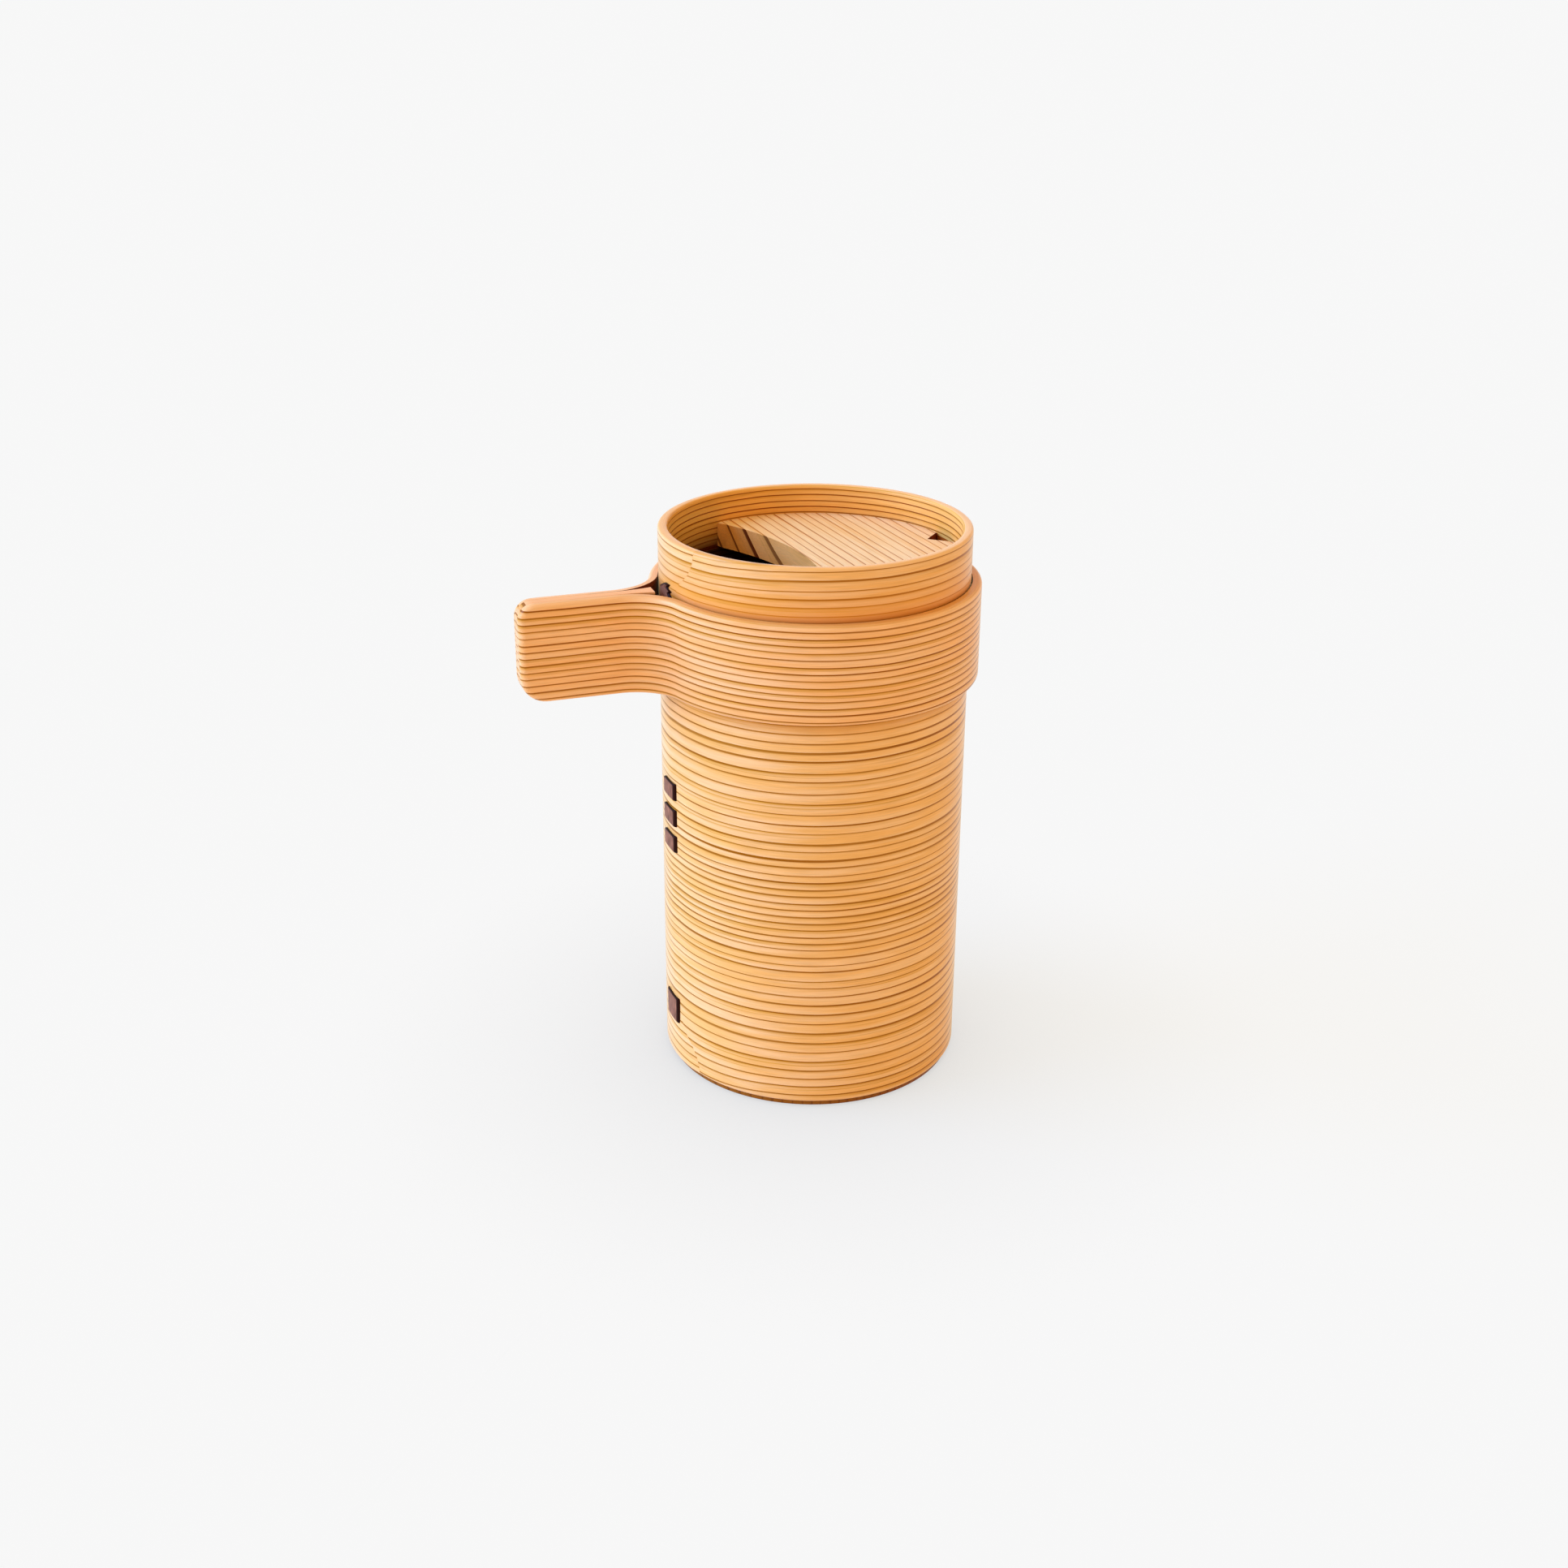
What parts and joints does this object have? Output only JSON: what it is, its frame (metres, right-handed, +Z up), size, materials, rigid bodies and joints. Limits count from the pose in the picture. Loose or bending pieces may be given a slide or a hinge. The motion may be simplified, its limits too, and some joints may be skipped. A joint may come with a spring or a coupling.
{
  "type": "bentwood pouring jug",
  "caption": "Tall round bentwood cedar jug with a strap handle, a recessed top plate with a half-moon fill opening and a pour notch, and bark-sewn lap seam.",
  "frame": {"origin": "on the body's axis at the underside of the foot", "axes": "+Z up along the body's axis; the handle runs out along -X and the pour notch is on the +X side"},
  "size_m": [0.1132, 0.08, 0.1388],
  "materials": {
    "bent_cedar_wall": "satin clear finish on quarter-sawn cedar, growth lines level round the wall",
    "bent_cedar_band": "satin clear finish on finer quarter-sawn cedar",
    "sawn_cedar_plate": "satin clear finish on quarter-sawn cedar board",
    "cedar_core": "satin clear finish",
    "cherry_bark": "dark bark strip with a low gloss"
  },
  "bodies": {
    "root": {"body_wall": "bent_cedar_wall", "bottom_plate": "sawn_cedar_plate", "top_plate": "sawn_cedar_plate", "handle_band": "bent_cedar_band", "handle_core": "cedar_core", "bark_stitch_top": "cherry_bark", "bark_stitch_upper": "cherry_bark", "bark_stitch_middle": "cherry_bark", "bark_stitch_lower": "cherry_bark", "bark_stitch_base": "cherry_bark"}
  },
  "joints": []
}
